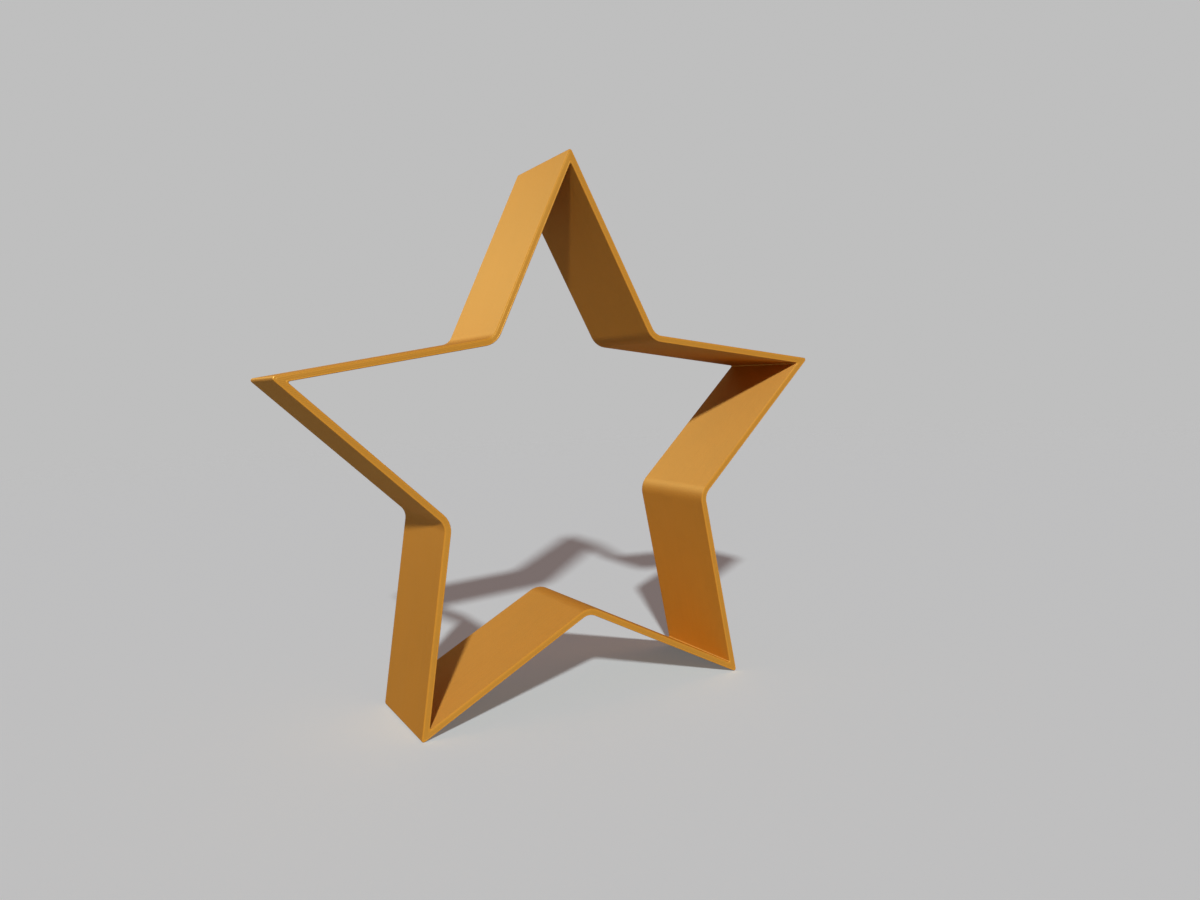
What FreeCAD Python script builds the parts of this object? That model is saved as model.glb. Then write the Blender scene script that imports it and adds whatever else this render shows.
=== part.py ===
"""Open star made as one printed band.

The band follows the outline of a five-pointed star and has the same wall all
the way round. Its tips are sharp, its valleys are rounded, and it stands
upright on its two lower tips.

Frame: X to the right, Y from the front rim to the back rim, Z up. The origin
is on the surface that the tips stand on, below the middle of the star.
"""
import FreeCAD, Part
import os
from math import atan2, cos, hypot, radians, sin, tan

import Sketcher
from FreeCAD import Placement, Rotation, Vector

# Driving sizes in millimetres, except the number of arms
SIZES = {
    "arm_count": 5,
    "tip_radius": 210.0,        # star centre to the corner where two outer flanks would meet
    "valley_radius": 105.0,     # star centre to the corner of a valley before it is rounded
    "band_depth": 84.0,         # front rim to back rim
    "wall_thickness": 4.6,
    "valley_rounding": 9.5,     # outer surface; the inner surface is concentric with it
    "tip_rounding": 1.5,        # outer surface
    "inside_tip_rounding": 0.8,
    "rim_rounding": 0.6,        # long edges of the front and back rims
}

# Angle between the middle of an arm and the middle of the valley next to it
HALF_SECTOR = "180 deg / sizes.arm_count"

# Height of the star's centre when two tips touch the ground
HALF_TIP = (
    f"atan(sizes.valley_radius * sin({HALF_SECTOR})"
    f" / (sizes.tip_radius - sizes.valley_radius * cos({HALF_SECTOR})))"
)
CENTRE_HEIGHT = (
    f"(sizes.tip_radius - sizes.tip_rounding / sin({HALF_TIP})) * cos({HALF_SECTOR})"
    " + sizes.tip_rounding"
)

# How a sketch numbers its origin, its vertical axis and the points of a curve
SKETCH_ORIGIN = (-1, 1)
VERTICAL_AXIS = -2
START, END, CENTRE = 1, 2, 3

SAME_PLACE = 1e-6


def make_sheet(doc):
    """Put the driving sizes in a spreadsheet, with an alias for each."""
    sheet = doc.addObject("Spreadsheet::Sheet", "sizes")
    for row, (name, value) in enumerate(SIZES.items(), start=1):
        sheet.set(f"A{row}", name)
        sheet.set(f"B{row}", str(value))
        sheet.setAlias(f"B{row}", name)
    doc.recompute()
    return sheet


def origin_plane(body, role):
    """Return the body's own origin plane with this role."""
    for feature in body.Origin.OriginFeatures:
        if feature.Role == role:
            return feature
    raise RuntimeError(f"{body.Label} has no {role}")


class ArmSection:
    """The section of one arm, a V of constant wall whose tip points straight down.

    It runs from the middle of one valley, round the tip, to the middle of the
    next valley. The same code draws and constrains the right and the left side.
    """

    def __init__(self, body, sheet):
        self.sheet = sheet
        self.sketch = body.newObject("Sketcher::SketchObject", "arm_section")
        self.sketch.AttachmentSupport = [(origin_plane(body, "XZ_Plane"), "")]
        self.sketch.MapMode = "FlatFace"

        self.half_sector = radians(180 / sheet.arm_count)
        rise = sheet.tip_radius - sheet.valley_radius * cos(self.half_sector)
        reach = sheet.valley_radius * sin(self.half_sector)
        self.half_tip = atan2(reach, rise)
        self.half_valley = self.half_tip + self.half_sector
        self.flank_length = hypot(reach, rise)

        right = self.add_side(1)
        left = self.add_side(-1)
        self.tie("PointOnObject", right["guide"], START, VERTICAL_AXIS)
        self.tie("Coincident", left["guide"], START, right["guide"], START)
        self.dimension("tip_radius", "Distance", *SKETCH_ORIGIN, right["guide"], START)
        self.add_tip_arc("tip_rounding", 0.0, left["outer_flank"], right["outer_flank"])
        self.add_tip_arc(
            "inside_tip_rounding", sheet.wall_thickness, left["inner_flank"], right["inner_flank"]
        )

    def line(self, first, last, construction=False):
        """Draw a line and return its number."""
        return self.sketch.addGeometry(Part.LineSegment(first, last), construction)

    def arc(self, centre, first, last):
        """Draw the arc that turns anticlockwise from first to last, and return its number."""
        out = first - centre
        back = last - centre
        circle = Part.Circle(centre, Vector(0, 0, 1), out.Length)
        return self.sketch.addGeometry(
            Part.ArcOfCircle(circle, atan2(out.y, out.x), atan2(back.y, back.x)), False
        )

    def tie(self, kind, *geometry):
        """Add a constraint that has no value."""
        self.sketch.addConstraint(Sketcher.Constraint(kind, *geometry))

    def bind(self, label, expression, constraint):
        """Add a constraint under this label and let the expression drive its value."""
        index = self.sketch.addConstraint(constraint)
        self.sketch.renameConstraint(index, label)
        self.sketch.setExpression(f"Constraints.{label}", expression)

    def dimension(self, size, kind, *geometry, side=""):
        """Add a constraint that takes its value from the size of that name in the sheet."""
        constraint = Sketcher.Constraint(kind, *geometry, self.sheet.get(size))
        self.bind(side + size, f"sizes.{size}", constraint)

    def add_side(self, hand):
        """Draw one side of the V. hand is 1 towards +X and -1 towards -X."""
        sheet = self.sheet
        side = "right_" if hand > 0 else "left_"
        up_flank = Vector(hand * sin(self.half_tip), cos(self.half_tip), 0)
        inward = Vector(-hand * cos(self.half_tip), sin(self.half_tip), 0)
        to_valley = Vector(hand * sin(self.half_sector), -cos(self.half_sector), 0)
        tip = Vector(0, -sheet.tip_radius, 0)
        valley = to_valley * sheet.valley_radius
        bend_centre = valley + to_valley * (sheet.valley_rounding / sin(self.half_valley))

        # Guides: the line that halves the valley, and the flank before its ends are rounded
        valley_line = self.line(Vector(0, 0, 0), bend_centre, construction=True)
        guide = self.line(tip, valley, construction=True)
        self.tie("Coincident", valley_line, START, *SKETCH_ORIGIN)
        self.tie("PointOnObject", guide, END, valley_line)
        self.dimension("valley_radius", "Distance", *SKETCH_ORIGIN, guide, END, side=side)
        slope = Sketcher.Constraint("Angle", valley_line, atan2(to_valley.y, to_valley.x))
        self.bind(side + "valley_slope", f"-90 deg + {hand} * {HALF_SECTOR}", slope)

        # The two surfaces of the flank
        outer_start = tip + up_flank * (sheet.tip_rounding / tan(self.half_tip))
        outer_end = valley - up_flank * (sheet.valley_rounding / tan(self.half_valley))
        inner_corner = tip + Vector(0, sheet.wall_thickness / sin(self.half_tip), 0)
        inner_start = inner_corner + up_flank * (sheet.inside_tip_rounding / tan(self.half_tip))
        inner_end = outer_end + inward * sheet.wall_thickness
        outer_flank = self.line(outer_start, outer_end)
        inner_flank = self.line(inner_start, inner_end)
        self.tie("Tangent", outer_flank, guide)
        self.tie("Parallel", inner_flank, outer_flank)
        self.dimension("wall_thickness", "Distance", inner_flank, END, outer_flank, side=side)

        # The rounded valley, as far as the line that halves it
        outer_middle = bend_centre - to_valley * sheet.valley_rounding
        inner_middle = outer_middle - to_valley * sheet.wall_thickness
        if hand > 0:
            at_middle, at_flank = START, END
            outer_bend = self.arc(bend_centre, outer_middle, outer_end)
            inner_bend = self.arc(bend_centre, inner_middle, inner_end)
        else:
            at_flank, at_middle = START, END
            outer_bend = self.arc(bend_centre, outer_end, outer_middle)
            inner_bend = self.arc(bend_centre, inner_end, inner_middle)
        end_cap = self.line(outer_middle, inner_middle)
        self.tie("Coincident", outer_bend, CENTRE, valley_line, END)
        self.tie("Coincident", inner_bend, CENTRE, valley_line, END)
        self.tie("Tangent", outer_bend, at_flank, outer_flank, END)
        self.tie("Tangent", inner_bend, at_flank, inner_flank, END)
        self.tie("PointOnObject", outer_bend, at_middle, valley_line)
        self.tie("PointOnObject", inner_bend, at_middle, valley_line)
        self.tie("Coincident", end_cap, START, outer_bend, at_middle)
        self.tie("Coincident", end_cap, END, inner_bend, at_middle)
        self.dimension("valley_rounding", "Radius", outer_bend, side=side)
        return {"guide": guide, "outer_flank": outer_flank, "inner_flank": inner_flank}

    def add_tip_arc(self, rounding, wall, left_flank, right_flank):
        """Round the corner between two flanks that lie this much wall inside the tip."""
        radius = self.sheet.get(rounding)
        centre = Vector(0, (wall + radius) / sin(self.half_tip) - self.sheet.tip_radius, 0)
        down = radius * sin(self.half_tip)
        across = radius * cos(self.half_tip)
        arc = self.arc(centre, centre + Vector(-across, -down, 0), centre + Vector(across, -down, 0))
        self.tie("Tangent", arc, START, left_flank, START)
        self.tie("Tangent", arc, END, right_flank, START)
        self.dimension(rounding, "Radius", arc)


def rim_edges(feature, half_depth):
    """Name the edges that lie in the plane of the front or the back rim."""
    names = []
    for number, edge in enumerate(feature.Shape.Edges, start=1):
        box = edge.BoundBox
        if box.YLength < SAME_PLACE and abs(abs(box.Center.y) - half_depth) < SAME_PLACE:
            names.append(f"Edge{number}")
    return names


def make_star(doc, sheet):
    """Build the band: one arm, turned round the star's centre, with its rim edges rounded."""
    body = doc.addObject("PartDesign::Body", "star_frame")
    section = ArmSection(body, sheet)

    arm = body.newObject("PartDesign::Pad", "arm")
    arm.Profile = section.sketch
    arm.SideType = "Symmetric"
    arm.setExpression("Length", "sizes.band_depth")
    doc.recompute()

    arms = body.newObject("PartDesign::PolarPattern", "arms")
    arms.Originals = [arm]
    arms.Axis = (section.sketch, ["N_Axis"])
    arms.Angle = 360
    arms.setExpression("Occurrences", "sizes.arm_count")
    body.Tip = arms
    doc.recompute()

    rims = body.newObject("PartDesign::Fillet", "rounded_rims")
    rims.Base = (arms, rim_edges(arms, sheet.band_depth / 2))
    rims.setExpression("Radius", "sizes.rim_rounding")
    body.Tip = rims

    # Half a sector's turn puts one arm on each side of straight down
    body.Placement = Placement(Vector(0, 0, sheet.tip_radius), Rotation(Vector(0, 1, 0), 0))
    body.setExpression(".Placement.Rotation.Angle", HALF_SECTOR)
    body.setExpression(".Placement.Base.z", CENTRE_HEIGHT)
    doc.recompute()

    if section.sketch.solve() != 0 or not section.sketch.FullyConstrained:
        raise RuntimeError("the section of the arm is not fully constrained")
    return body


def check(doc, pieces):
    """Stop if any object failed or any piece has no valid solid."""
    for thing in doc.Objects:
        if "Invalid" in thing.State or "Error" in thing.State:
            raise RuntimeError(f"{thing.Label} failed: {thing.State}")
    for piece in pieces:
        shape = piece.Shape
        if shape.isNull() or not shape.isValid() or len(shape.Solids) != 1:
            raise RuntimeError(f"{piece.Label} is not one valid solid")


def export(pieces):
    """Write each piece to its own STEP file, named after its label."""
    os.makedirs("parts", exist_ok=True)
    for piece in pieces:
        piece.Shape.exportStep(f"parts/{piece.Label}.step")
        box = piece.Shape.BoundBox
        print(
            f"{piece.Label}: {piece.Shape.Volume / 1000:.1f} cm3, "
            f"X {box.XMin:.2f} to {box.XMax:.2f}, Y {box.YMin:.2f} to {box.YMax:.2f}, "
            f"Z {box.ZMin:.2f} to {box.ZMax:.2f}"
        )


def main():
    """Build the document, check it and write the piece."""
    doc = FreeCAD.newDocument("star")
    sheet = make_sheet(doc)
    pieces = [make_star(doc, sheet)]
    check(doc, pieces)
    export(pieces)


main()
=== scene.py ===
"""Open star ornament, printed in one piece from ochre filament.

The band is modelled as it was printed: flat on its back, one thin layer on
the other, so that its wide faces carry fine layer ridges and its front rim
shows the beads that the nozzle drew along the outline. Everything is in
metres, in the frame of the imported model: X to the right, Y from the front rim
to the back rim, Z up, with the origin on the ground below the middle.
"""
from __future__ import annotations

import logging
import random
from collections.abc import Callable, Iterable
from dataclasses import dataclass, field
from enum import Enum
from math import atan2, ceil, cos, degrees, hypot, pi, radians, sin, tan

import bmesh
import bpy
from mathutils import Matrix, Vector


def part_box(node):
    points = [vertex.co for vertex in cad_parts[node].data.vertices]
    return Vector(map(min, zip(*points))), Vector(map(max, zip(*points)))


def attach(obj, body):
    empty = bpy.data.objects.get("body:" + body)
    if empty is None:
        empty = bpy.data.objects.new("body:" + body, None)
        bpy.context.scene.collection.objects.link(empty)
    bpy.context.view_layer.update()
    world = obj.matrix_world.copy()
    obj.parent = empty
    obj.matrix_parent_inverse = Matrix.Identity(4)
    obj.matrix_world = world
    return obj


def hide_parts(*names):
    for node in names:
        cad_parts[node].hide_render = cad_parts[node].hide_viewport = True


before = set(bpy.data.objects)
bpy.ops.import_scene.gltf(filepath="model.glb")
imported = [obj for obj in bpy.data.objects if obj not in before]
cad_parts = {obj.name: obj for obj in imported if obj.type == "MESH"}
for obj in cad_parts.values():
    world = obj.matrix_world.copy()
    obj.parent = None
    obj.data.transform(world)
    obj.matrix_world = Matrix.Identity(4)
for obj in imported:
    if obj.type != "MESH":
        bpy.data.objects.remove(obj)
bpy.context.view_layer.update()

logging.basicConfig(level=logging.INFO, format="%(name)s: %(message)s")
log = logging.getLogger("star")

BODY = "root"
NODE = "star_frame"
ACROSS_WALL = "across_wall"
FLAT_MAP = "OFBake"

# How near two places or two angles have to be to count as the same
SAME_PLACE = 1e-6
SAME_ANGLE = 1e-6

# The least part of a face's normal that lies along Y, in a rim's plane and on its rounded edges
RIM_FLATNESS = 0.999
RIM_TILT = 0.7

# Edges that bend more than this stay sharp
CREASE_ANGLE = radians(35)

# The printed streaks and the slow drift of the colour: noise detail, drifts per metre, and the
# range of the noise that the tone spreads over
STREAK_DETAIL = 2.0
DRIFT_DETAIL = 3.0
DRIFT_SCALE = 14.0
TONE_RANGE = (0.1, 0.4)


class Element(Enum):
    """The kinds of mesh element that an edit acts on."""

    VERTEX = "VERT"
    EDGE = "EDGE"
    FACE = "FACE"


class Side(Enum):
    """The two surfaces of the wall, by the share of the wall that lies outside them."""

    OUTER = 0.0
    INNER = 1.0


class Rim(Enum):
    """The two rims of the band, by the way along Y that each one faces."""

    FRONT = -1
    BACK = 1


def choose(piece: bpy.types.Object, kind: Element, test: Callable[..., bool]) -> int:
    """Select the elements of one kind that pass a test, in edit mode.

    Args:
        piece: The object being edited.
        kind: Which elements are tested.
        test: Takes a vertex, an edge or a face of the edited mesh.

    Returns:
        How many elements are selected.
    """
    bpy.ops.mesh.select_mode(type=kind.value)
    bpy.ops.mesh.select_all(action="DESELECT")
    mesh = bmesh.from_edit_mesh(piece.data)
    mesh.normal_update()
    elements = {Element.VERTEX: mesh.verts, Element.EDGE: mesh.edges, Element.FACE: mesh.faces}
    chosen = [element for element in elements[kind] if test(element)]
    for element in chosen:
        element.select_set(True)
    bmesh.update_edit_mesh(piece.data)
    return len(chosen)


@dataclass(frozen=True)
class StarSizes:
    """The sizes that give the band its shape.

    Attributes:
        arm_count: Number of tips.
        tip_radius: From the star's centre to where two outer flanks would meet.
        valley_radius: From the star's centre to a valley's corner before it is rounded.
        centre_height: Height of the star's centre above the ground.
        front: Y of the front rim.
        depth: From the front rim to the back rim.
        wall: Thickness of the band.
        valley_rounding: Radius of a valley on the outer surface.
        tip_rounding: Radius of a tip on the outer surface.
        inside_tip_rounding: Radius of a tip on the inner surface.
        rim_rounding: Radius of the long edges of the rims.
    """

    arm_count: int
    tip_radius: float
    valley_radius: float
    centre_height: float
    front: float
    depth: float
    wall: float
    valley_rounding: float
    tip_rounding: float
    inside_tip_rounding: float
    rim_rounding: float

    @classmethod
    def from_frame(
        cls,
        node: str,
        arm_count: int = 5,
        valley_share: float = 0.5,
        wall: float = 0.0046,
        valley_rounding: float = 0.0095,
        tip_rounding: float = 0.0015,
        inside_tip_rounding: float = 0.0008,
        rim_rounding: float = 0.0006,
    ) -> StarSizes:
        """Work the radii and the place of the star out from its box in the frame.

        Args:
            node: The node that holds the band.
            arm_count: Number of tips.
            valley_share: Radius of the valleys as a share of the tips' radius.
            wall: Thickness of the band.
            valley_rounding: Radius of a valley on the outer surface.
            tip_rounding: Radius of a tip on the outer surface.
            inside_tip_rounding: Radius of a tip on the inner surface.
            rim_rounding: Radius of the long edges of the rims.

        Returns:
            The sizes of the star that fills the box.
        """
        low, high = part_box(node)
        sector = 2 * pi / arm_count
        half_tip = atan2(
            valley_share * sin(sector / 2), 1 - valley_share * cos(sector / 2)
        )
        tip_cut = tip_rounding / sin(half_tip)
        reach = (high.x - low.x) / 2 - tip_rounding
        tip_radius = reach / sin(sector) + tip_cut
        return cls(
            arm_count=arm_count,
            tip_radius=tip_radius,
            valley_radius=tip_radius * valley_share,
            centre_height=low.z + (tip_radius - tip_cut) * cos(sector / 2) + tip_rounding,
            front=low.y,
            depth=high.y - low.y,
            wall=wall,
            valley_rounding=valley_rounding,
            tip_rounding=tip_rounding,
            inside_tip_rounding=inside_tip_rounding,
            rim_rounding=rim_rounding,
        )

    @property
    def half_sector(self) -> float:
        """Angle between the middle of an arm and the middle of the valley next to it."""
        return pi / self.arm_count

    @property
    def half_tip(self) -> float:
        """Half of the angle between the two flanks of an arm."""
        across = self.valley_radius * sin(self.half_sector)
        along = self.tip_radius - self.valley_radius * cos(self.half_sector)
        return atan2(across, along)

    @property
    def half_valley(self) -> float:
        """Half of the angle between the two flanks of a valley, measured in the opening."""
        return self.half_tip + self.half_sector

    @property
    def back(self) -> float:
        """Y of the back rim."""
        return self.front + self.depth

    def sector_of(self, place: Vector) -> int:
        """Count half sectors clockwise from the top: even numbers are tips, odd ones valleys."""
        angle = atan2(place.x, place.z - self.centre_height)
        return round(angle / self.half_sector) % (2 * self.arm_count)

    def corner(self, count: int) -> Vector:
        """Give a corner of the outer outline before it is rounded, counted from the top tip."""
        radius = self.valley_radius if count % 2 else self.tip_radius
        angle = count * self.half_sector
        return Vector((radius * sin(angle), self.front, self.centre_height + radius * cos(angle)))

    def flank_of(self, place: Vector) -> int:
        """Count the flanks clockwise from the one right of the top tip to the one at a point."""
        angle = atan2(place.x, place.z - self.centre_height) % (2 * pi)
        return int(angle / self.half_sector + SAME_ANGLE) % (2 * self.arm_count)

    def side_of(self, place: Vector) -> Side:
        """Tell which surface of the wall a point of the band lies nearer to."""
        _along, inset, _back = Flank.of(self, self.flank_of(place)).measure(place)
        return Side.OUTER if inset < self.wall / 2 else Side.INNER


@dataclass(frozen=True)
class Flank:
    """One straight flank of the star, between a tip's corner and a valley's.

    Attributes:
        start: The corner where it starts, on the outer outline in the front rim's plane.
        along: The way it runs, clockwise round the star.
        inwards: The way through the wall, from the outer surface to the inner.
        length: From corner to corner.
    """

    start: Vector
    along: Vector
    inwards: Vector
    length: float

    @classmethod
    def of(cls, sizes: StarSizes, count: int) -> Flank:
        """Work out one flank of a star.

        Args:
            sizes: The star.
            count: Which flank, as StarSizes.flank_of counts them.

        Returns:
            The flank.
        """
        start = sizes.corner(count)
        run = sizes.corner(count + 1) - start
        along = run.normalized()
        return cls(start, along, Vector((0, 1, 0)).cross(along), run.length)

    def measure(self, place: Vector) -> tuple[float, float, float]:
        """Tell how far along the flank, into the wall and behind the front rim a point lies."""
        offset = place - self.start
        return offset.dot(self.along), offset.dot(self.inwards), offset.y


@dataclass(frozen=True)
class PrintSettings:
    """How the printer laid the filament down.

    Attributes:
        layer_blocks: The wide faces are first cut into this many equal blocks.
        layers_per_block: Layers in each block.
        rows_per_layer: Rows of faces that shape one layer.
        layer_groove: Depth of the groove between two layers.
        uneven_share: Share of the grooves that are a little deeper than the others.
        uneven_extra: How much deeper they are.
        rim_strips: Strips of faces across a rim.
        groove_line: The line between strips, counted from a surface, where the outline bead ends.
        bead_groove: Depth of the groove between the outline bead and the infill, for each rim.
        bead_slope: Share of that depth on the lines that round a bead off.
        valley_steps: Straight pieces in the rounding of a valley.
        tip_steps: Straight pieces in the rounding of a tip.
        rim_steps: Straight pieces in the rounding of a rim's edge.
        sheet_columns: Flanks side by side on the sheet that the surface is laid out on.
        sheet_gap: Distance between the pieces on that sheet.
        seed: Picks the uneven grooves.
    """

    layer_blocks: int = 20
    layers_per_block: int = 13
    rows_per_layer: int = 3
    layer_groove: float = 0.00003
    uneven_share: float = 0.15
    uneven_extra: float = 0.00002
    rim_strips: int = 16
    groove_line: int = 2
    bead_groove: dict[Rim, float] = field(
        default_factory=lambda: {Rim.FRONT: 0.0001, Rim.BACK: 0.00006}
    )
    bead_slope: float = 0.35
    valley_steps: int = 5
    tip_steps: int = 5
    rim_steps: int = 3
    sheet_columns: int = 4
    sheet_gap: float = 0.002
    seed: int = 5


def round_profile(half_angle: float) -> float:
    """Give the bevel profile whose middle lies where a true arc's middle does.

    A bevel bends a quarter circle to the angle of the corner, so its plain
    profile of 0.5 is only round at a right angle.

    Args:
        half_angle: Half of the angle between the two sides of the corner.

    Returns:
        The value for the bevel's profile.
    """
    share = (1 + 2 * sin(half_angle)) / (2 + 2 * sin(half_angle))
    return share * share


@dataclass
class PrintedStar:
    """The whole ornament: one band of constant wall along the outline of a star.

    Attributes:
        sizes: The shape of the band.
        settings: How it was printed.
        wall_finish: Finish of the wide faces, whose colour is darker than the rims' as painted
            shade for the shade that falls between the layers.
        rim_finish: Finish of the two rims, lighter than the wide faces' by that painted shade, with
            a painted highlight on the outline beads.
        name: Name of the piece.
    """

    sizes: StarSizes
    settings: PrintSettings
    wall_finish: FilamentFinish
    rim_finish: FilamentFinish
    name: str = "printed_star"

    def build(self) -> bpy.types.Object:
        """Model and dress the star.

        Returns:
            The finished piece, with its place in its mesh.
        """
        outer = self.outline(Side.OUTER)
        inner = self.outline(Side.INNER)
        star = self.joined(outer, inner)
        self.extrude_band(star)
        self.round_rims(star)
        self.mark_sides(star)
        self.draw_beads(star)
        self.stack_layers(star)
        self.unroll(star)
        self.dress(star)
        return star

    def outline(self, side: Side) -> bpy.types.Object:
        """Draw one closed outline of the star in the plane of the front rim.

        Args:
            side: Which surface of the wall the outline follows.

        Returns:
            A new object that holds the outline.
        """
        sizes = self.sizes
        inset = side.value * sizes.wall
        tip_radius = sizes.tip_radius - inset / sin(sizes.half_tip)
        valley_radius = sizes.valley_radius - inset / sin(sizes.half_valley)
        valley_rounding = sizes.valley_rounding + inset
        tip_rounding = sizes.tip_rounding if side is Side.OUTER else sizes.inside_tip_rounding
        centre = Vector((0, sizes.front, sizes.centre_height))

        bpy.ops.object.select_all(action="DESELECT")
        bpy.ops.mesh.primitive_circle_add(
            vertices=2 * sizes.arm_count,
            radius=tip_radius,
            fill_type="NOTHING",
            location=centre,
            rotation=(pi / 2, 0, 0),
        )
        bpy.ops.object.transform_apply(location=True, rotation=True, scale=True)
        line = bpy.context.active_object
        bpy.ops.object.mode_set(mode="EDIT")
        choose(line, Element.VERTEX, lambda corner: sizes.sector_of(corner.co) % 2 == 1)
        pull = valley_radius / tip_radius
        bpy.ops.transform.resize(value=(pull, 1, pull), center_override=centre)
        self.round_corners(valley_rounding, sizes.half_valley, self.settings.valley_steps)
        choose(
            line,
            Element.VERTEX,
            lambda corner: abs((corner.co - centre).length - tip_radius) < SAME_PLACE,
        )
        self.round_corners(tip_rounding, sizes.half_tip, self.settings.tip_steps)
        bpy.ops.object.mode_set(mode="OBJECT")
        return line

    def round_corners(self, radius: float, half_angle: float, steps: int) -> None:
        """Round the selected corners of an outline.

        Args:
            radius: Radius of the rounding.
            half_angle: Half of the angle between the two flanks of a corner.
            steps: Straight pieces in each rounding.
        """
        bpy.ops.mesh.bevel(
            offset_type="OFFSET",
            offset=radius / tan(half_angle),
            segments=steps,
            profile=round_profile(half_angle),
            affect="VERTICES",
            clamp_overlap=False,
        )

    def joined(self, outer: bpy.types.Object, inner: bpy.types.Object) -> bpy.types.Object:
        """Join the two outlines with a ring of faces, which is the front rim.

        Args:
            outer: The outline of the outer surface.
            inner: The outline of the inner surface.

        Returns:
            The object that holds the ring.
        """
        bpy.ops.object.select_all(action="DESELECT")
        outer.select_set(True)
        inner.select_set(True)
        bpy.context.view_layer.objects.active = outer
        bpy.ops.object.join()
        star = bpy.context.active_object
        star.name = self.name
        star.data.name = self.name
        bpy.ops.object.mode_set(mode="EDIT")
        bpy.ops.mesh.select_mode(type="EDGE")
        bpy.ops.mesh.select_all(action="SELECT")
        bpy.ops.mesh.bridge_edge_loops()
        bpy.ops.object.mode_set(mode="OBJECT")
        return star

    def extrude_band(self, star: bpy.types.Object) -> None:
        """Pull the ring back by the depth of the band, and face it outwards.

        Args:
            star: The object that holds the ring.
        """
        bpy.ops.object.mode_set(mode="EDIT")
        bpy.ops.mesh.select_mode(type="FACE")
        bpy.ops.mesh.select_all(action="SELECT")
        bpy.ops.mesh.extrude_region_move(
            TRANSFORM_OT_translate={"value": (0, self.sizes.depth, 0)}
        )
        bpy.ops.mesh.select_all(action="SELECT")
        bpy.ops.mesh.normals_make_consistent(inside=False)
        bpy.ops.object.mode_set(mode="OBJECT")

    def round_rims(self, star: bpy.types.Object) -> None:
        """Round the long edges where the rims meet the wide faces.

        Args:
            star: The band with sharp rims.
        """
        bpy.ops.object.mode_set(mode="EDIT")
        choose(star, Element.EDGE, lambda edge: sum(on_rim(face) for face in edge.link_faces) == 1)
        bpy.ops.mesh.bevel(
            offset_type="OFFSET",
            offset=self.sizes.rim_rounding,
            segments=self.settings.rim_steps,
            profile=0.5,
            affect="EDGES",
            clamp_overlap=False,
        )
        bpy.ops.object.mode_set(mode="OBJECT")

    def mark_sides(self, star: bpy.types.Object) -> None:
        """Store on each point how far across the wall it lies, for later cuts to share out.

        Args:
            star: The band, with points only on its two surfaces.
        """
        marks = star.data.attributes.new(ACROSS_WALL, "FLOAT", "POINT")
        for point in star.data.vertices:
            marks.data[point.index].value = self.sizes.side_of(point.co).value

    def draw_beads(self, star: bpy.types.Object) -> None:
        """Cut the rims into strips along the outline and sink the grooves beside the outline beads.

        Args:
            star: The band with its sides marked.
        """
        settings = self.settings
        strips = settings.rim_strips
        bpy.ops.object.mode_set(mode="EDIT")
        choose(star, Element.EDGE, lambda edge: all(on_rim(face) for face in edge.link_faces))
        bpy.ops.mesh.subdivide(number_cuts=strips - 1)
        marks = bmesh.from_edit_mesh(star.data).verts.layers.float[ACROSS_WALL]

        def line_of(point: bmesh.types.BMVert) -> int:
            """Count the lines between strips from the nearer surface to this point."""
            line = round(point[marks] * strips)
            return min(line, strips - line)

        shares = {
            settings.groove_line: 1.0,
            settings.groove_line + 1: settings.bead_slope,
            0: settings.bead_slope,
        }
        for rim in Rim:
            level = self.sizes.front if rim is Rim.FRONT else self.sizes.back
            for line, share in shares.items():
                choose(
                    star,
                    Element.VERTEX,
                    lambda point: abs(point.co.y - level) < SAME_PLACE and line_of(point) == line,
                )
                sink = settings.bead_groove[rim] * share
                bpy.ops.transform.translate(value=(0, -rim.value * sink, 0))
        choose(
            star,
            Element.EDGE,
            lambda edge: all(
                in_rim_rounding(point, self.sizes) and line_of(point) == settings.groove_line
                for point in edge.verts
            ),
        )
        bpy.ops.mesh.mark_sharp()
        bpy.ops.object.mode_set(mode="OBJECT")

    def stack_layers(self, star: bpy.types.Object) -> None:
        """Cut the wide faces into layers and sink a sharp groove between each two.

        Args:
            star: The band with its rims finished.
        """
        sizes = self.sizes
        settings = self.settings
        bottom = sizes.front + sizes.rim_rounding
        top = sizes.back - sizes.rim_rounding
        rows = settings.rows_per_layer * settings.layers_per_block
        height = (top - bottom) / (rows * settings.layer_blocks)
        bpy.ops.object.mode_set(mode="EDIT")
        for cuts, shortest in ((settings.layer_blocks, sizes.depth / 2), (rows, height * rows / 2)):
            choose(star, Element.EDGE, lambda edge: runs_along_depth(edge, shortest))
            bpy.ops.mesh.subdivide(number_cuts=cuts - 1)

        def groove_of(point: bmesh.types.BMVert) -> int:
            """Count the grooves from the front to this point's own, or give 0 if it's in none."""
            row = round((point.co.y - bottom) / height)
            if not bottom + height / 2 < point.co.y < top - height / 2:
                return 0
            return 0 if row % settings.rows_per_layer else row // settings.rows_per_layer

        draw = random.Random(settings.seed)
        grooves = range(1, settings.layer_blocks * settings.layers_per_block)
        uneven = {groove for groove in grooves if draw.random() < settings.uneven_share}
        choose(star, Element.VERTEX, lambda point: groove_of(point) > 0)
        bpy.ops.transform.shrink_fatten(value=-settings.layer_groove)
        choose(star, Element.VERTEX, lambda point: groove_of(point) in uneven)
        bpy.ops.transform.shrink_fatten(value=-settings.uneven_extra)
        choose(
            star,
            Element.EDGE,
            lambda edge: groove_of(edge.verts[0]) == groove_of(edge.verts[1]) > 0,
        )
        bpy.ops.mesh.mark_sharp()
        bpy.ops.object.mode_set(mode="OBJECT")

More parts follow.
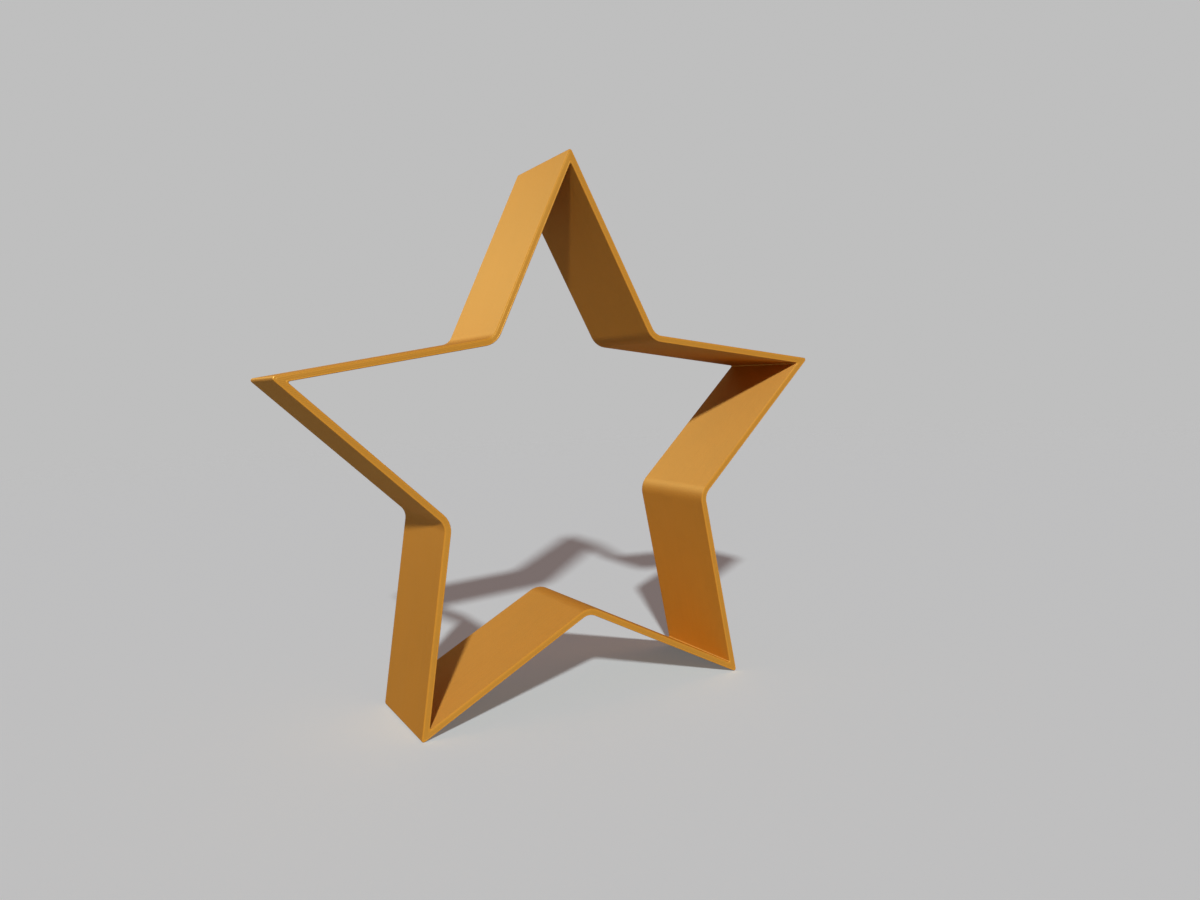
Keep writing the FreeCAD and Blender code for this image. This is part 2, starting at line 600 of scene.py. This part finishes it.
    def unroll(self, star: bpy.types.Object) -> None:
        """Lay the surface out flat, flank by flank, with U along the outline for the sheen.

        A flank's outer and inner surface and its two rims lie one above the other in a
        cell of their own, and the cells fill a square sheet row by row.

        Args:
            star: The modelled band.
        """
        sizes = self.sizes
        gap = self.settings.sheet_gap
        columns = self.settings.sheet_columns
        flanks = [Flank.of(sizes, count) for count in range(2 * sizes.arm_count)]
        outer = gap
        inner = outer + sizes.depth + gap
        rims = {Rim.FRONT: inner + sizes.depth + gap}
        rims[Rim.BACK] = rims[Rim.FRONT] + sizes.wall + gap
        cell_width = flanks[0].length + gap
        cell_height = rims[Rim.BACK] + sizes.wall
        rows = ceil(len(flanks) / columns)
        sheet = max(columns * cell_width, rows * cell_height) + gap

        mesh = star.data
        flat = mesh.uv_layers.new(name=FLAT_MAP).uv
        for face in mesh.polygons:
            count = sizes.flank_of(face.center)
            left = count % columns * cell_width + gap
            low = count // columns * cell_height
            is_rim = abs(face.normal.y) > RIM_TILT
            if is_rim:
                low += rims[Rim.FRONT if face.normal.y < 0 else Rim.BACK]
            else:
                low += outer if sizes.side_of(face.center) is Side.OUTER else inner
            for loop in face.loop_indices:
                place = mesh.vertices[mesh.loops[loop].vertex_index].co
                along, inset, back = flanks[count].measure(place)
                up = inset if is_rim else back
                flat[loop].vector = ((left + along) / sheet, (low + up) / sheet)

    def dress(self, star: bpy.types.Object) -> None:
        """Give the wide faces and the rims their finishes, and smooth all but the creases.

        Args:
            star: The modelled band.
        """
        star.data.materials.append(self.wall_finish.material())
        star.data.materials.append(self.rim_finish.material())
        bpy.ops.object.mode_set(mode="EDIT")
        choose(star, Element.FACE, lambda face: abs(face.normal.y) > RIM_TILT)
        star.active_material_index = 1
        bpy.ops.object.material_slot_assign()
        bpy.ops.object.mode_set(mode="OBJECT")
        bpy.ops.object.shade_smooth_by_angle(angle=CREASE_ANGLE)


def in_rim_rounding(point: bmesh.types.BMVert, sizes: StarSizes) -> bool:
    """Tell whether a point lies no deeper behind a rim than the rounding of its edges."""
    return min(point.co.y - sizes.front, sizes.back - point.co.y) < sizes.rim_rounding


def on_rim(face: bmesh.types.BMFace) -> bool:
    """Tell whether a face lies flat in the plane of a rim."""
    return abs(face.normal.y) > RIM_FLATNESS


def runs_along_depth(edge: bmesh.types.BMEdge, shortest: float) -> bool:
    """Tell whether an edge runs straight back along Y and is at least this long."""
    run = edge.verts[1].co - edge.verts[0].co
    return abs(run.y) > shortest and hypot(run.x, run.z) < SAME_PLACE


@dataclass(frozen=True)
class InfillRipple:
    """The slanting lines of the infill between a rim's outline beads, painted darker so that the
    beads stand lighter as a painted highlight along the rim's edges.

    Attributes:
        pitch: Distance between two lines.
        slant: Angle of the lines above level, seen from the front.
        height: How far a line stands proud.
        border: Share of the wall, from each surface, that the outline beads cover.
        fade: Share of the wall, beside each border, over which the infill sets in.
        shade: Brightness of the infill's colour as a share of the outline beads', which paints the
            highlight on the beads.
    """

    pitch: float = 0.0011
    slant: float = radians(11)
    height: float = 0.00002
    border: float = 0.17
    fade: float = 0.034
    shade: float = 0.86


@dataclass(frozen=True)
class FilamentFinish:
    """Satin ochre filament, whose layers spread its sheen across them.

    Attributes:
        name: Name of the material.
        base: Its colour, linear.
        deep: The darker colour that it drifts to, linear.
        sheen_tint: Colour of its reflection when seen straight on, linear.
        ior: Index of refraction, which sets how strong the reflection is.
        specular_level: How much of that strength is used, where 0.5 leaves it as it is.
        roughness: Middle of the roughness.
        roughness_spread: How far the roughness strays from its middle.
        anisotropy: How much wider the reflection spreads across the layers than along them.
        layer_height: Height of a layer, which the streaks follow.
        streak_length: Length of a streak along a layer.
        streak_height: How far a streak stands proud.
        ripple: The infill's lines, with the painted highlight on the outline beads beside them, or
            None where no infill shows.
    """

    name: str
    base: tuple[float, float, float]
    deep: tuple[float, float, float]
    sheen_tint: tuple[float, float, float] = (1.0, 0.73, 0.25)
    ior: float = 2.0
    specular_level: float = 1.0
    roughness: float = 0.66
    roughness_spread: float = 0.06
    anisotropy: float = 0.0
    layer_height: float = 0.00032
    streak_length: float = 0.03
    streak_height: float = 0.00001
    ripple: InfillRipple | None = None

    def material(self) -> bpy.types.Material:
        """Make the material.

        Returns:
            The new material.
        """
        made = bpy.data.materials.new(self.name)
        made.use_nodes = True
        tree = made.node_tree
        shader = tree.nodes["Principled BSDF"]
        shader.inputs["IOR"].default_value = self.ior
        shader.inputs["Specular IOR Level"].default_value = self.specular_level
        shader.inputs["Specular Tint"].default_value = (*self.sheen_tint, 1)
        place = tree.nodes.new("ShaderNodeTexCoord").outputs["Object"]
        streaks = self.add_streaks(tree, place)
        infill = None if self.ripple is None else infill_mask(tree, self.ripple)
        self.add_colour(tree, shader, streaks, infill)
        self.add_gloss(tree, shader, streaks)
        self.add_relief(tree, shader, streaks, place, infill)
        return made

    def add_streaks(
        self, tree: bpy.types.NodeTree, place: bpy.types.NodeSocket
    ) -> bpy.types.Node:
        """Place the streak group with this finish's sizes and return its node."""
        streaks = tree.nodes.new("ShaderNodeGroup")
        streaks.node_tree = streak_group()
        streaks.inputs["Layer Height"].default_value = self.layer_height
        streaks.inputs["Streak Length"].default_value = self.streak_length
        tree.links.new(place, streaks.inputs["Place"])
        return streaks

    def add_colour(
        self,
        tree: bpy.types.NodeTree,
        shader: bpy.types.Node,
        streaks: bpy.types.Node,
        infill: bpy.types.NodeSocket | None,
    ) -> None:
        """Let the colour drift a little along the print, and darken it where infill shows, which
        leaves a painted highlight on the outline beads.
        """
        tone = tree.nodes.new("ShaderNodeMix")
        tone.data_type = "RGBA"
        tone.inputs["A"].default_value = (*self.base, 1)
        tone.inputs["B"].default_value = (*self.deep, 1)
        tree.links.new(streaks.outputs["Tone"], tone.inputs["Factor"])
        colour = tone.outputs["Result"]
        if infill is not None:
            # Darkening the infill paints a highlight on the outline beads beside it
            darker = tree.nodes.new("ShaderNodeMix")
            darker.data_type = "RGBA"
            darker.blend_type = "MULTIPLY"
            darker.inputs["B"].default_value = (*[self.ripple.shade] * 3, 1)
            tree.links.new(infill, darker.inputs["Factor"])
            tree.links.new(colour, darker.inputs["A"])
            colour = darker.outputs["Result"]
        tree.links.new(colour, shader.inputs["Base Color"])

    def add_gloss(
        self, tree: bpy.types.NodeTree, shader: bpy.types.Node, streaks: bpy.types.Node
    ) -> None:
        """Let the roughness vary with the streaks, and spread the sheen across the layers."""
        gloss = tree.nodes.new("ShaderNodeMapRange")
        gloss.inputs["To Min"].default_value = self.roughness - self.roughness_spread
        gloss.inputs["To Max"].default_value = self.roughness + self.roughness_spread
        tree.links.new(streaks.outputs["Streak"], gloss.inputs["Value"])
        tree.links.new(gloss.outputs["Result"], shader.inputs["Roughness"])
        if not self.anisotropy:
            return
        along = tree.nodes.new("ShaderNodeTangent")
        along.direction_type = "UV_MAP"
        along.uv_map = FLAT_MAP
        quarter_turn = 0.25
        shader.inputs["Anisotropic"].default_value = self.anisotropy
        shader.inputs["Anisotropic Rotation"].default_value = quarter_turn
        tree.links.new(along.outputs["Tangent"], shader.inputs["Tangent"])

    def add_relief(
        self,
        tree: bpy.types.NodeTree,
        shader: bpy.types.Node,
        streaks: bpy.types.Node,
        place: bpy.types.NodeSocket,
        infill: bpy.types.NodeSocket | None,
    ) -> None:
        """Raise the streaks, and the lines of the infill where it shows."""
        bump = tree.nodes.new("ShaderNodeBump")
        bump.inputs["Distance"].default_value = self.streak_height
        tree.links.new(streaks.outputs["Streak"], bump.inputs["Height"])
        tree.links.new(bump.outputs["Normal"], shader.inputs["Normal"])
        if infill is None:
            return
        lines = tree.nodes.new("ShaderNodeBump")
        lines.inputs["Distance"].default_value = self.ripple.height
        tree.links.new(ripple_height(tree, self.ripple, place, infill), lines.inputs["Height"])
        tree.links.new(lines.outputs["Normal"], bump.inputs["Normal"])


def infill_mask(tree: bpy.types.NodeTree, ripple: InfillRipple) -> bpy.types.NodeSocket:
    """Add nodes that tell the infill of a rim from the outline beads beside it.

    Args:
        tree: The material's node tree.
        ripple: The sizes of the infill.

    Returns:
        The output that is 1 on the infill and 0 on the outline beads.
    """
    middle = (Side.OUTER.value + Side.INNER.value) / 2
    across = tree.nodes.new("ShaderNodeAttribute")
    across.attribute_name = ACROSS_WALL
    off_middle = tree.nodes.new("ShaderNodeMath")
    off_middle.operation = "SUBTRACT"
    off_middle.inputs[1].default_value = middle
    tree.links.new(across.outputs["Fac"], off_middle.inputs[0])
    distance = tree.nodes.new("ShaderNodeMath")
    distance.operation = "ABSOLUTE"
    tree.links.new(off_middle.outputs["Value"], distance.inputs[0])
    inside = tree.nodes.new("ShaderNodeMapRange")
    inside.inputs["From Min"].default_value = middle - ripple.border
    inside.inputs["From Max"].default_value = middle - ripple.border - ripple.fade
    tree.links.new(distance.outputs["Value"], inside.inputs["Value"])
    return inside.outputs["Result"]


def ripple_height(
    tree: bpy.types.NodeTree,
    ripple: InfillRipple,
    place: bpy.types.NodeSocket,
    infill: bpy.types.NodeSocket,
) -> bpy.types.NodeSocket:
    """Add nodes that give the height of the infill's lines between the outline beads.

    Args:
        tree: The material's node tree.
        ripple: The lines' sizes.
        place: The output that gives the object's place.
        infill: The output that is 1 where the infill shows.

    Returns:
        The output that rises and falls across the lines and is 0 under the outline beads.
    """
    turns = 2 * pi / ripple.pitch
    across_lines = (-sin(ripple.slant) * turns, 0, cos(ripple.slant) * turns)
    phase = tree.nodes.new("ShaderNodeVectorMath")
    phase.operation = "DOT_PRODUCT"
    phase.inputs[1].default_value = across_lines
    tree.links.new(place, phase.inputs[0])
    wave = tree.nodes.new("ShaderNodeMath")
    wave.operation = "SINE"
    tree.links.new(phase.outputs["Value"], wave.inputs[0])

    height = tree.nodes.new("ShaderNodeMath")
    height.operation = "MULTIPLY"
    tree.links.new(wave.outputs["Value"], height.inputs[0])
    tree.links.new(infill, height.inputs[1])
    return height.outputs["Value"]


def streak_group() -> bpy.types.NodeTree:
    """Return the node group that streaks a surface along its printed layers, built once.

    Returns:
        A group that takes an object's place and puts out a fine streak and a slow tone.
    """
    name = "printed_streaks"
    if name in bpy.data.node_groups:
        return bpy.data.node_groups[name]
    group = bpy.data.node_groups.new(name, "ShaderNodeTree")
    socket = group.interface.new_socket
    socket("Place", in_out="INPUT", socket_type="NodeSocketVector")
    socket("Layer Height", in_out="INPUT", socket_type="NodeSocketFloat")
    socket("Streak Length", in_out="INPUT", socket_type="NodeSocketFloat")
    socket("Streak", in_out="OUTPUT", socket_type="NodeSocketFloat")
    socket("Tone", in_out="OUTPUT", socket_type="NodeSocketFloat")
    nodes = group.nodes
    links = group.links
    given = nodes.new("NodeGroupInput")
    out = nodes.new("NodeGroupOutput")

    size = nodes.new("ShaderNodeCombineXYZ")
    links.new(given.outputs["Streak Length"], size.inputs["X"])
    links.new(given.outputs["Layer Height"], size.inputs["Y"])
    links.new(given.outputs["Streak Length"], size.inputs["Z"])
    shrink = nodes.new("ShaderNodeVectorMath")
    shrink.operation = "DIVIDE"
    links.new(given.outputs["Place"], shrink.inputs[0])
    links.new(size.outputs["Vector"], shrink.inputs[1])
    streak = nodes.new("ShaderNodeTexNoise")
    streak.inputs["Scale"].default_value = 1.0
    streak.inputs["Detail"].default_value = STREAK_DETAIL
    links.new(shrink.outputs["Vector"], streak.inputs["Vector"])
    links.new(streak.outputs["Fac"], out.inputs["Streak"])

    drift = nodes.new("ShaderNodeTexNoise")
    drift.inputs["Scale"].default_value = DRIFT_SCALE
    drift.inputs["Detail"].default_value = DRIFT_DETAIL
    links.new(given.outputs["Place"], drift.inputs["Vector"])
    both = nodes.new("ShaderNodeMath")
    both.operation = "MULTIPLY"
    links.new(streak.outputs["Fac"], both.inputs[0])
    links.new(drift.outputs["Fac"], both.inputs[1])
    spread = nodes.new("ShaderNodeMapRange")
    spread.inputs["From Min"].default_value = TONE_RANGE[0]
    spread.inputs["From Max"].default_value = TONE_RANGE[1]
    links.new(both.outputs["Value"], spread.inputs["Value"])
    links.new(spread.outputs["Result"], out.inputs["Tone"])
    return group


@dataclass(frozen=True)
class Studio:
    """The pale floor and backdrop, the key lamp and the soft light all round.

    Attributes:
        floor_size: Side of the square floor.
        floor_tone: Colour of the floor for the camera and the gloss, which evens out the
            tint of the soft light.
        floor_glow: Grey that it adds there, so that its shadows stay pale.
        floor_bounce: Grey of the floor as it lights the star from below.
        fade_start: Distance from the star at which the floor starts to fade.
        fade_end: Distance at which it is gone.
        backdrop: Grey of the backdrop for the camera and the gloss.
        ambient: Strength of the soft light all round.
        ambient_tint: Colour of that light, linear.
        key_travel: The way the key light travels.
        key_strength: Strength of the key light.
        key_angle: Angle that the lamp spans, which softens its shadows.
    """

    floor_size: float = 12.0
    floor_tone: tuple[float, float, float] = (0.70, 0.78, 0.80)
    floor_glow: float = 0.12
    floor_bounce: float = 0.15
    fade_start: float = 0.9
    fade_end: float = 3.5
    backdrop: float = 0.52
    ambient: float = 0.105
    ambient_tint: tuple[float, float, float] = (1.0, 0.43, 0.35)
    key_travel: tuple[float, float, float] = (0.545, 1.0, -0.698)
    key_strength: float = 2.8
    key_angle: float = radians(3)

    def build(self) -> bpy.types.Object:
        """Set up the floor, the lamp and the world.

        Returns:
            The floor.
        """
        bpy.ops.object.select_all(action="DESELECT")
        bpy.ops.mesh.primitive_plane_add(size=self.floor_size)
        floor = bpy.context.active_object
        floor.name = "pale_floor"
        floor.data.materials.append(self.floor_material())
        self.light_key()
        self.light_round()
        return floor

    def light_key(self) -> None:
        """Hang the key lamp, above and to the left in front of the star."""
        lamp = bpy.data.lights.new("key_lamp", "SUN")
        lamp.energy = self.key_strength
        lamp.angle = self.key_angle
        key = bpy.data.objects.new("key_lamp", lamp)
        key.rotation_mode = "QUATERNION"
        key.rotation_quaternion = Vector(self.key_travel).to_track_quat("-Z", "Y")
        bpy.context.scene.collection.objects.link(key)

    def light_round(self) -> None:
        """Give the world its soft light, and its pale backdrop for what looks at it."""
        world = bpy.data.worlds.new("studio")
        bpy.context.scene.world = world
        world.use_nodes = True
        nodes = world.node_tree.nodes
        links = world.node_tree.links
        nodes.clear()
        out = nodes.new("ShaderNodeOutputWorld")
        soft = nodes.new("ShaderNodeBackground")
        soft.inputs["Color"].default_value = (*self.ambient_tint, 1)
        soft.inputs["Strength"].default_value = self.ambient
        pale = nodes.new("ShaderNodeBackground")
        pale.inputs["Color"].default_value = (self.backdrop, self.backdrop, self.backdrop, 1)
        pick = nodes.new("ShaderNodeMixShader")
        links.new(seen(world.node_tree), pick.inputs["Fac"])
        links.new(soft.outputs["Background"], pick.inputs[1])
        links.new(pale.outputs["Background"], pick.inputs[2])
        links.new(pick.outputs["Shader"], out.inputs["Surface"])

    def floor_material(self) -> bpy.types.Material:
        """Make the floor's material, pale to look at and fading out with distance.

        Returns:
            The new material.
        """
        made = bpy.data.materials.new("pale_floor")
        made.use_nodes = True
        nodes = made.node_tree.nodes
        links = made.node_tree.links
        nodes.clear()
        out = nodes.new("ShaderNodeOutputMaterial")

        tone = nodes.new("ShaderNodeMix")
        tone.data_type = "RGBA"
        tone.inputs["A"].default_value = (*[self.floor_bounce] * 3, 1)
        tone.inputs["B"].default_value = (*self.floor_tone, 1)
        looked_at = seen(made.node_tree)
        links.new(looked_at, tone.inputs["Factor"])
        matte = nodes.new("ShaderNodeBsdfDiffuse")
        links.new(tone.outputs["Result"], matte.inputs["Color"])
        strength = nodes.new("ShaderNodeMath")
        strength.operation = "MULTIPLY"
        strength.inputs[1].default_value = self.floor_glow
        links.new(looked_at, strength.inputs[0])
        glow = nodes.new("ShaderNodeEmission")
        links.new(strength.outputs["Value"], glow.inputs["Strength"])
        surface = nodes.new("ShaderNodeAddShader")
        links.new(matte.outputs["BSDF"], surface.inputs[0])
        links.new(glow.outputs["Emission"], surface.inputs[1])

        place = nodes.new("ShaderNodeTexCoord")
        away = nodes.new("ShaderNodeVectorMath")
        away.operation = "LENGTH"
        links.new(place.outputs["Object"], away.inputs[0])
        fade = nodes.new("ShaderNodeMapRange")
        fade.interpolation_type = "SMOOTHSTEP"
        fade.inputs["From Min"].default_value = self.fade_start
        fade.inputs["From Max"].default_value = self.fade_end
        links.new(away.outputs["Value"], fade.inputs["Value"])
        clear = nodes.new("ShaderNodeBsdfTransparent")
        mix = nodes.new("ShaderNodeMixShader")
        links.new(fade.outputs["Result"], mix.inputs["Fac"])
        links.new(surface.outputs["Shader"], mix.inputs[1])
        links.new(clear.outputs["BSDF"], mix.inputs[2])
        links.new(mix.outputs["Shader"], out.inputs["Surface"])
        return made


def seen(tree: bpy.types.NodeTree) -> bpy.types.NodeSocket:
    """Add nodes that tell whether a camera, gloss or glass ray looks at the surface.

    Args:
        tree: The node tree that gets them.

    Returns:
        The output that is 1 for such a ray and 0 for any other.
    """
    path = tree.nodes.new("ShaderNodeLightPath")
    total = path.outputs["Is Camera Ray"]
    for kind in ("Is Glossy Ray", "Is Transmission Ray"):
        either = tree.nodes.new("ShaderNodeMath")
        either.operation = "MAXIMUM"
        tree.links.new(total, either.inputs[0])
        tree.links.new(path.outputs[kind], either.inputs[1])
        total = either.outputs["Value"]
    return total


@dataclass(frozen=True)
class PhotoCamera:
    """The camera at the photograph's place, aim and lens.

    Attributes:
        place: Where it stands.
        yaw: Turn to the right from looking along Y.
        pitch: Tilt up from level.
        roll: Tilt of its right side up from level.
        lens: Focal length in millimetres.
        sensor: Width of the sensor in millimetres.
    """

    place: tuple[float, float, float] = (-0.2878, -0.5966, 0.2270)
    yaw: float = radians(28.499)
    pitch: float = radians(-4.6415)
    roll: float = radians(-2.301)
    lens: float = 27.70
    sensor: float = 36.0

    def build(self) -> bpy.types.Object:
        """Set the camera up and make it the scene's own.

        Returns:
            The camera.
        """
        data = bpy.data.cameras.new("photo_camera")
        data.sensor_width = self.sensor
        data.lens = self.lens
        camera = bpy.data.objects.new("photo_camera", data)
        turn = Matrix.Rotation(-self.yaw, 4, "Z")
        tilt = Matrix.Rotation(pi / 2 + self.pitch, 4, "X")
        lean = Matrix.Rotation(self.roll, 4, "Z")
        camera.matrix_world = Matrix.Translation(self.place) @ turn @ tilt @ lean
        bpy.context.scene.collection.objects.link(camera)
        bpy.context.scene.camera = camera
        return camera


def report(piece: bpy.types.Object) -> None:
    """Write how many faces a piece has to the log."""
    log.info("%s: %d faces", piece.name, len(piece.data.polygons))


def main() -> None:
    """Build the star and the studio round it."""
    bpy.context.scene.view_settings.view_transform = "Standard"
    sizes = StarSizes.from_frame(NODE)
    tip_angle = degrees(2 * sizes.half_tip)
    log.info("tip radius %.4f m, tip angle %.1f degrees", sizes.tip_radius, tip_angle)
    star = PrintedStar(
        sizes=sizes,
        settings=PrintSettings(),
        wall_finish=FilamentFinish(
            name="filament_layers_painted_shade",
            # Darker than the rims' base: painted shade for the shade that falls into the grooves
            # between the printed layers
            base=(0.58, 0.215, 0.013),
            deep=(0.51, 0.19, 0.011),
            anisotropy=0.84,
        ),
        rim_finish=FilamentFinish(
            name="filament_beads_painted_highlight",
            # Lighter than the wide faces' base by their painted shade, and a little lighter again
            # for the painted highlight on the outline beads, which the darker infill sets off
            base=(0.71, 0.284, 0.013),
            deep=(0.64, 0.256, 0.012),
            roughness=0.38,
            anisotropy=0.4,
            streak_length=0.002,
            ripple=InfillRipple(),
        ),
    ).build()
    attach(star, BODY)
    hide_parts(NODE)
    report(star)
    report(Studio().build())
    PhotoCamera().build()


if __name__ == "__main__":
    main()
